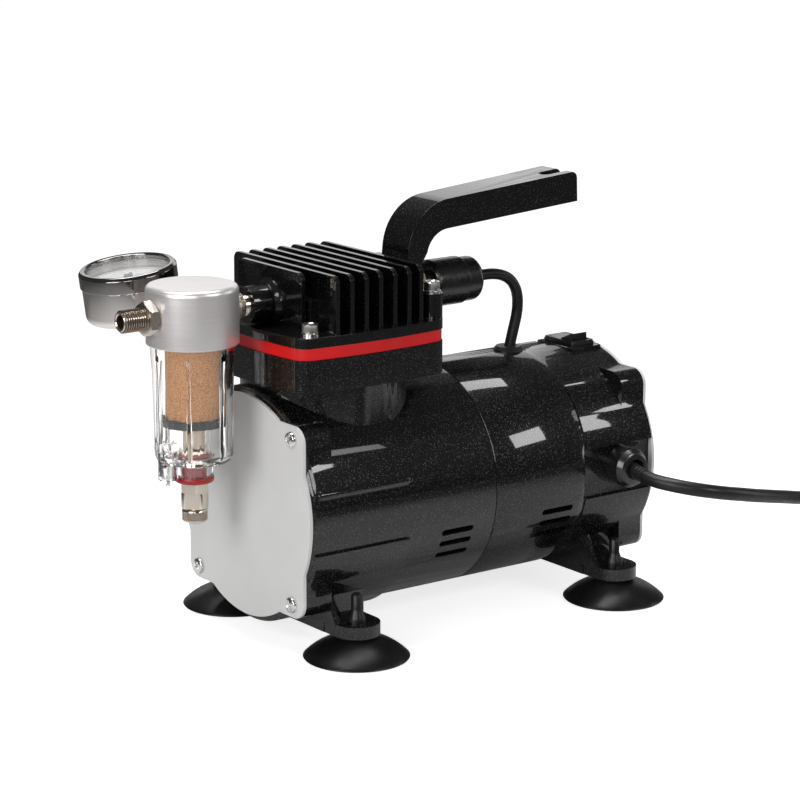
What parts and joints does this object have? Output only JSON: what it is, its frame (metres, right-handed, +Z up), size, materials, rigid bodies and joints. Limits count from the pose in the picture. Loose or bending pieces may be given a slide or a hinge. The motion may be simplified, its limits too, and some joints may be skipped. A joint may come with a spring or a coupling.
{
  "type": "airbrush compressor",
  "caption": "Small piston compressor on suction-cup feet, with finned head, carry handle, clear moisture filter, pressure gauge, rocker switch and mains cord.",
  "frame": {"origin": "on the floor, under the middle of the machine's box without its free mains cord", "axes": "+X from the filter end to the rocker switch end, along the motor shaft; -Y towards the side the mains cord leaves; +Z up"},
  "size_m": [0.5061, 0.162, 0.191],
  "materials": {
    "flake_black_paint": "glossy black enamel with fine silver flake",
    "gloss_black_paint": "deep gloss black enamel",
    "handle_paint": "semi-gloss black with fine flake",
    "cover_grey": "flat light grey paint with a bare bright edge",
    "zinc_steel": "bright zinc plate",
    "nickel_screw": "bright nickel plate",
    "cup_rubber": "smooth moulded rubber",
    "grommet_rubber": "soft moulded rubber",
    "sleeve_aluminium": "hard-anodised honed bore",
    "red_paint": "glossy red enamel",
    "ground_steel": "ground flat",
    "cast_aluminium": "as cast",
    "seal_plastic": "filled seal material",
    "bearing_steel": "polished races with dark shields",
    "crank_iron": "machined casting",
    "lamination_steel": "stacked laminations",
    "winding_copper": "varnished copper wire",
    "fan_plastic": "moulded",
    "switch_plastic": "semi-gloss moulded",
    "adaptor_brass": "nickel-flashed brass",
    "cable_rubber": "smooth cable jacket",
    "tie_plastic": "hook-and-loop strap",
    "plug_plastic": "moulded with fine texture",
    "plug_brass": "plated contact brass",
    "nickel_plate": "warm bright nickel",
    "cap_aluminium": "turned and brushed with a polished top edge",
    "clear_bowl": "clear polycarbonate",
    "element_bronze": "sintered bead bronze",
    "baffle_plastic": "moulded",
    "seal_red": "moulded seal",
    "gauge_chrome": "polished chrome",
    "gauge_glass": "clear lens",
    "dial_white": "white printed face",
    "needle_black": "matt black"
  },
  "bodies": {
    "compressor_body": {"front_housing": "flake_black_paint", "rear_housing": "flake_black_paint", "front_cover": "cover_grey", "rear_cover": "cover_grey", "cover_screws": "zinc_steel", "housing_bolts": "zinc_steel", "suction_cup_front_left": "cup_rubber", "suction_cup_front_right": "cup_rubber", "suction_cup_rear_left": "cup_rubber", "suction_cup_rear_right": "cup_rubber", "cylinder_sleeve": "sleeve_aluminium", "red_ring": "red_paint", "valve_plate": "ground_steel", "reed_valves": "ground_steel", "cylinder_head": "gloss_black_paint", "head_screws": "nickel_screw", "front_bearing": "bearing_steel", "rear_bearing": "bearing_steel", "stator_core": "lamination_steel", "stator_windings": "winding_copper", "carry_handle": "handle_paint", "handle_screw": "zinc_steel", "pressure_switch": "switch_plastic", "switch_boot": "switch_plastic", "switch_adaptor": "adaptor_brass", "switch_cable": "cable_rubber", "cable_grommet": "grommet_rubber", "power_switch_body": "switch_plastic", "cord_gland": "switch_plastic", "strain_relief": "grommet_rubber", "power_cord": "cable_rubber", "power_cord_coil": "cable_rubber", "cord_tie": "tie_plastic", "plug_body": "plug_plastic", "plug_pins": "plug_brass", "inlet_fitting": "nickel_plate", "filter_cap": "cap_aluminium", "filter_element": "element_bronze", "baffle_disc": "baffle_plastic", "outlet_nipple": "nickel_plate", "gauge_case": "gauge_chrome", "gauge_bezel": "gauge_chrome", "gauge_lens": "gauge_glass", "gauge_dial": "dial_white"},
    "crankshaft": {"motor_shaft": "ground_steel", "rotor_core": "lamination_steel", "cooling_fan": "fan_plastic", "crank_eccentric": "crank_iron", "crank_screw": "crank_iron"},
    "piston_rod": {"connecting_rod": "cast_aluminium", "piston": "cast_aluminium", "piston_seal": "seal_plastic", "rod_bearing": "bearing_steel"},
    "rocker": {"power_switch_rocker": "switch_plastic"},
    "gauge_pointer": {"gauge_needle": "needle_black"},
    "bowl": {"filter_bowl": "clear_bowl", "bowl_seals": "seal_red", "drain_body": "nickel_plate"},
    "knob": {"drain_knob": "nickel_plate"},
    "push_pin": {"push_drain_pin": "nickel_plate"}
  },
  "joints": [
    {"name": "crank_spin", "type": "hinge", "parent": "compressor_body", "child": "crankshaft", "pos_m": [0, 0, 0.0606], "axis": [1, 0, 0], "continuous": true},
    {"name": "rod_swing", "type": "hinge", "parent": "crankshaft", "child": "piston_rod", "pos_m": [-0.025, 0, 0.0656], "axis": [1, 0, 0], "continuous": true},
    {"name": "rocker_tilt", "type": "hinge", "parent": "compressor_body", "child": "rocker", "pos_m": [0.1143, 0, 0.108], "axis": [1, 0, 0], "range_deg": [0, 22]},
    {"name": "needle_sweep", "type": "hinge", "parent": "compressor_body", "child": "gauge_pointer", "pos_m": [-0.092, 0.0484, 0.1465], "axis": [0.1392, 0, -0.9903], "range_deg": [0, 270], "stiffness_Nm_per_rad": 0.0005},
    {"name": "bowl_turn", "type": "hinge", "parent": "compressor_body", "child": "bowl", "pos_m": [-0.092, 0, 0.134], "axis": [0, 0, 1], "range_deg": [0, 540]},
    {"name": "drain_turn", "type": "hinge", "parent": "bowl", "child": "knob", "pos_m": [-0.092, 0, 0.06], "axis": [0, 0, 1], "range_deg": [0, 270]},
    {"name": "push_drain_slide", "type": "slide", "parent": "bowl", "child": "push_pin", "axis": [0, 0, 1], "range_m": [0, 0.0025], "stiffness_N_per_m": 200, "springref_m": -0.001}
  ],
  "couplings": [
    {"joint": "rod_swing", "follows": "crank_spin", "ratio": -1}
  ]
}
